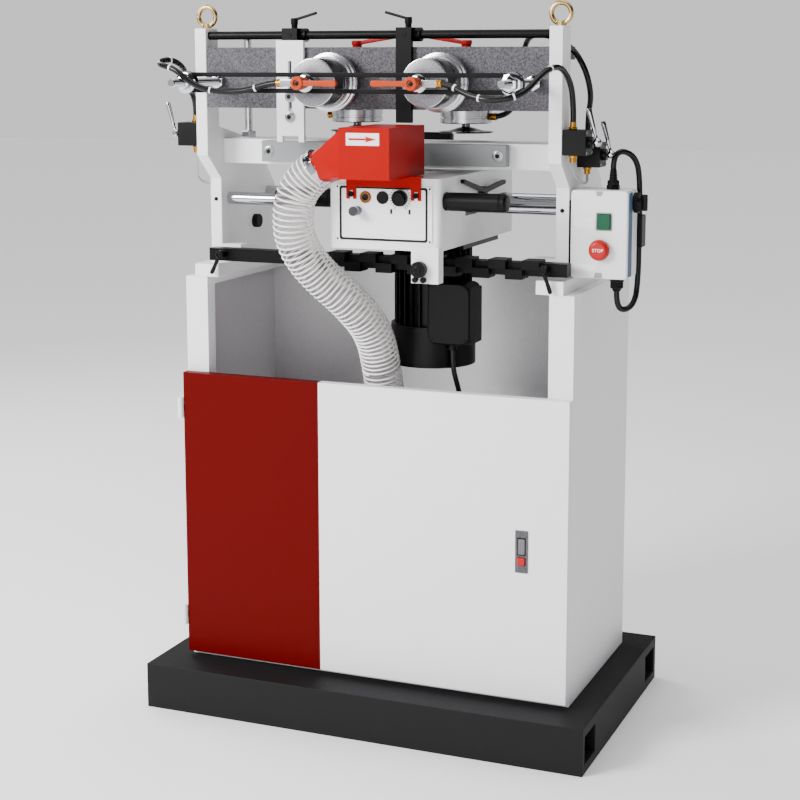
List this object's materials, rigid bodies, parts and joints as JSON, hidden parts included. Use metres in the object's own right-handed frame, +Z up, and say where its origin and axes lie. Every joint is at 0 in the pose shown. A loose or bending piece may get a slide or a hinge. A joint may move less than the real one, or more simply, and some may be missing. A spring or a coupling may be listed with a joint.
{
  "type": "dovetail machine",
  "caption": "Cabinet-mounted pneumatic dovetail machine: cutter carriage on guide rods, air clamps over a slotted beam, comb template, chip hood with hose, hinged door.",
  "frame": {"origin": "centre of the plinth's underside, on the floor", "axes": "+X operator's right, +Y away from the operator, +Z up"},
  "size_m": [0.9723, 0.652, 1.413],
  "materials": {
    "black_paint": "fine-textured black paint",
    "white_paint": "smooth off-white paint",
    "red_paint": "glossy red paint",
    "grey_iron": "ground cast iron",
    "steel": "machined steel",
    "chrome": "hard-chromed and polished",
    "black_steel": "black oxide steel",
    "bare_aluminium": "turned aluminium",
    "black_aluminium": "black-painted aluminium",
    "black_rubber": "matt black rubber",
    "black_plastic": "matt black plastic",
    "grey_plastic": "satin light grey plastic",
    "clear_hose": "clear ribbed hose",
    "orange_plastic": "glossy orange plastic",
    "red_plastic": "glossy red plastic",
    "green_plastic": "glossy green plastic"
  },
  "bodies": {
    "frame": {"plinth": "black_paint", "cabinet_shell": "white_paint", "side_frame_left": "white_paint", "side_frame_right": "white_paint", "lifting_eyebolts": "chrome", "upper_beam": "grey_iron", "beam_columns": "chrome", "stop_rod": "black_steel", "table_beam": "white_paint", "table_strip": "steel", "clamp_bar": "black_steel", "clamp_bar_studs": "steel", "guide_rods": "chrome", "template_bar": "black_steel", "control_box": "grey_plastic", "control_cables": "black_rubber", "air_valves": "black_aluminium", "air_hoses": "black_rubber", "dust_hose": "clear_hose", "motor_cable": "black_rubber", "front_clamp_hose_left": "black_rubber", "front_clamp_hose_right": "black_rubber", "top_clamp_bodies": "bare_aluminium"},
    "door": {"door": "white_paint", "door_latch": "grey_plastic"},
    "latch_button": {"door_latch_button": "red_plastic"},
    "saddle": {"carriage_saddle": "grey_iron"},
    "carriage": {"carriage_housing": "white_paint", "carriage_front_panel": "white_paint", "carriage_handles": "black_rubber", "chip_hood": "red_paint", "motor_body": "black_aluminium", "drive_belt": "black_rubber"},
    "spindle": {"cutter_spindle": "steel"},
    "front_clamp_left": {"front_clamp_body_left": "bare_aluminium"},
    "front_clamp_right": {"front_clamp_body_right": "bare_aluminium"},
    "motor_shaft": {"motor_shaft": "steel"},
    "depth_knob": {"depth_knob": "black_plastic"},
    "locking_plunger": {"locking_plunger": "steel"},
    "follower_knob": {"follower_knob": "black_plastic"},
    "lock_lever": {"lock_lever": "black_steel"},
    "front_clamp_piston_left": {"front_clamp_piston_left": "bare_aluminium"},
    "front_clamp_piston_right": {"front_clamp_piston_right": "bare_aluminium"},
    "front_clamp_lever_left": {"front_clamp_lever_left": "orange_plastic"},
    "front_clamp_lever_right": {"front_clamp_lever_right": "orange_plastic"},
    "top_clamp_feet": {"top_clamp_feet": "chrome"},
    "top_clamp_lever_left": {"top_clamp_lever_left": "red_plastic"},
    "top_clamp_lever_right": {"top_clamp_lever_right": "red_plastic"},
    "side_stop_white": {"side_stop_white": "white_paint"},
    "side_stop_black": {"side_stop_black": "black_steel"},
    "side_stop_lever_white": {"side_stop_lever_white": "black_plastic"},
    "side_stop_lever_black": {"side_stop_lever_black": "black_plastic"},
    "template_lever_left": {"template_lever_left": "black_plastic"},
    "template_lever_right": {"template_lever_right": "black_plastic"},
    "valve_lever_left": {"valve_lever_left": "black_aluminium"},
    "valve_lever_right_front": {"valve_lever_right_front": "black_aluminium"},
    "valve_lever_right_rear": {"valve_lever_right_rear": "black_aluminium"},
    "start_button": {"start_button": "green_plastic"},
    "stop_button": {"stop_button": "red_plastic"},
    "main_switch": {"main_switch": "black_plastic"}
  },
  "joints": [
    {"name": "door_hinge", "type": "hinge", "parent": "frame", "child": "door", "pos_m": [-0.41, -0.2023, 0.394], "axis": [0, 0, -1], "range_deg": [0, 110]},
    {"name": "latch_push", "type": "slide", "parent": "door", "child": "latch_button", "axis": [0, 1, 0], "range_m": [0, 0.003], "stiffness_N_per_m": 600, "springref_m": -0.002},
    {"name": "carriage_traverse", "type": "slide", "parent": "frame", "child": "saddle", "axis": [1, 0, 0], "range_m": [-0.297, 0.15], "deforming": ["dust_hose", "motor_cable"]},
    {"name": "carriage_feed", "type": "slide", "parent": "saddle", "child": "carriage", "axis": [0, 1, 0], "range_m": [0, 0.045], "deforming": ["dust_hose", "motor_cable"]},
    {"name": "motor_spin", "type": "hinge", "parent": "carriage", "child": "motor_shaft", "pos_m": [0.07, -0.031, 0.99], "axis": [0, 0, 1], "continuous": true},
    {"name": "spindle_spin", "type": "hinge", "parent": "carriage", "child": "spindle", "pos_m": [0.07, -0.215, 1.05], "axis": [0, 0, 1], "continuous": true},
    {"name": "depth_knob_turn", "type": "hinge", "parent": "carriage", "child": "depth_knob", "pos_m": [0.104, -0.292, 1.058], "axis": [0, -1, 0], "range_deg": [-150, 150]},
    {"name": "plunger_pull", "type": "slide", "parent": "carriage", "child": "locking_plunger", "axis": [0, -1, 0], "range_m": [0, 0.008], "stiffness_N_per_m": 500, "springref_m": -0.004},
    {"name": "follower_turn", "type": "hinge", "parent": "carriage", "child": "follower_knob", "pos_m": [0.144, -0.297, 0.93], "axis": [0, -1, 0], "range_deg": [-150, 150]},
    {"name": "carriage_lock_turn", "type": "hinge", "parent": "carriage", "child": "lock_lever", "pos_m": [0.187, -0.072, 1.058], "axis": [1, 0, 0], "range_deg": [-10, 20]},
    {"name": "front_clamp_left_shift", "type": "slide", "parent": "frame", "child": "front_clamp_left", "axis": [1, 0, 0], "range_m": [0, 0.06], "deforming": ["front_clamp_hose_left"]},
    {"name": "front_clamp_left_press", "type": "slide", "parent": "front_clamp_left", "child": "front_clamp_piston_left", "axis": [0, 1, 0], "range_m": [0, 0.01], "stiffness_N_per_m": 1500, "springref_m": -0.01},
    {"name": "front_clamp_left_lever_turn", "type": "hinge", "parent": "front_clamp_left", "child": "front_clamp_lever_left", "pos_m": [-0.075, -0.33, 1.265], "axis": [0, -1, 0], "range_deg": [-90, 90]},
    {"name": "front_clamp_right_shift", "type": "slide", "parent": "frame", "child": "front_clamp_right", "axis": [1, 0, 0], "range_m": [0, 0.06], "deforming": ["front_clamp_hose_right"]},
    {"name": "front_clamp_right_press", "type": "slide", "parent": "front_clamp_right", "child": "front_clamp_piston_right", "axis": [0, 1, 0], "range_m": [0, 0.01], "stiffness_N_per_m": 1500, "springref_m": -0.01},
    {"name": "front_clamp_right_lever_turn", "type": "hinge", "parent": "front_clamp_right", "child": "front_clamp_lever_right", "pos_m": [0.147, -0.33, 1.265], "axis": [0, -1, 0], "range_deg": [-90, 90]},
    {"name": "top_clamp_press", "type": "slide", "parent": "frame", "child": "top_clamp_feet", "axis": [0, 0, -1], "range_m": [0, 0.016], "stiffness_N_per_m": 1500, "springref_m": -0.02},
    {"name": "top_clamp_left_lever_turn", "type": "hinge", "parent": "frame", "child": "top_clamp_lever_left", "pos_m": [-0.077, -0.066, 1.34], "axis": [0, 0, 1], "range_deg": [0, 110]},
    {"name": "top_clamp_right_lever_turn", "type": "hinge", "parent": "frame", "child": "top_clamp_lever_right", "pos_m": [0.15, -0.066, 1.34], "axis": [0, 0, 1], "range_deg": [-110, 0]},
    {"name": "side_stop_white_shift", "type": "slide", "parent": "frame", "child": "side_stop_white", "axis": [1, 0, 0], "range_m": [-0.1, 0]},
    {"name": "side_stop_white_lever_turn", "type": "hinge", "parent": "side_stop_white", "child": "side_stop_lever_white", "pos_m": [-0.165, -0.163, 1.375], "axis": [0, 0, 1], "range_deg": [-120, 120]},
    {"name": "side_stop_black_shift", "type": "slide", "parent": "frame", "child": "side_stop_black", "axis": [1, 0, 0], "range_m": [-0.05, 0]},
    {"name": "side_stop_black_lever_turn", "type": "hinge", "parent": "side_stop_black", "child": "side_stop_lever_black", "pos_m": [0.0705, -0.163, 1.375], "axis": [0, 0, 1], "range_deg": [-120, 120]},
    {"name": "template_lever_left_turn", "type": "hinge", "parent": "frame", "child": "template_lever_left", "pos_m": [-0.318, -0.188, 0.927], "axis": [0, -1, 0], "range_deg": [-60, 60]},
    {"name": "template_lever_right_turn", "type": "hinge", "parent": "frame", "child": "template_lever_right", "pos_m": [0.348, -0.188, 0.927], "axis": [0, -1, 0], "range_deg": [-60, 60]},
    {"name": "valve_lever_left_tilt", "type": "hinge", "parent": "frame", "child": "valve_lever_left", "pos_m": [-0.4353, -0.153, 1.161], "axis": [0, 1, 0], "range_deg": [0, 30]},
    {"name": "valve_lever_right_front_tilt", "type": "hinge", "parent": "frame", "child": "valve_lever_right_front", "pos_m": [0.4353, -0.153, 1.158], "axis": [0, 1, 0], "range_deg": [0, 30]},
    {"name": "valve_lever_right_rear_tilt", "type": "hinge", "parent": "frame", "child": "valve_lever_right_rear", "pos_m": [0.4353, -0.057, 1.131], "axis": [0, 1, 0], "range_deg": [0, 30]},
    {"name": "start_push", "type": "slide", "parent": "frame", "child": "start_button", "axis": [0, 1, 0], "range_m": [0, 0.003], "stiffness_N_per_m": 600, "springref_m": -0.002},
    {"name": "stop_push", "type": "slide", "parent": "frame", "child": "stop_button", "axis": [0, 1, 0], "range_m": [0, 0.004], "stiffness_N_per_m": 600, "springref_m": -0.002},
    {"name": "main_switch_turn", "type": "hinge", "parent": "frame", "child": "main_switch", "pos_m": [0.5, -0.084, 1.046], "axis": [1, 0, 0], "range_deg": [0, 90]}
  ],
  "couplings": [
    {"joint": "spindle_spin", "follows": "motor_spin", "ratio": 1.8333}
  ]
}
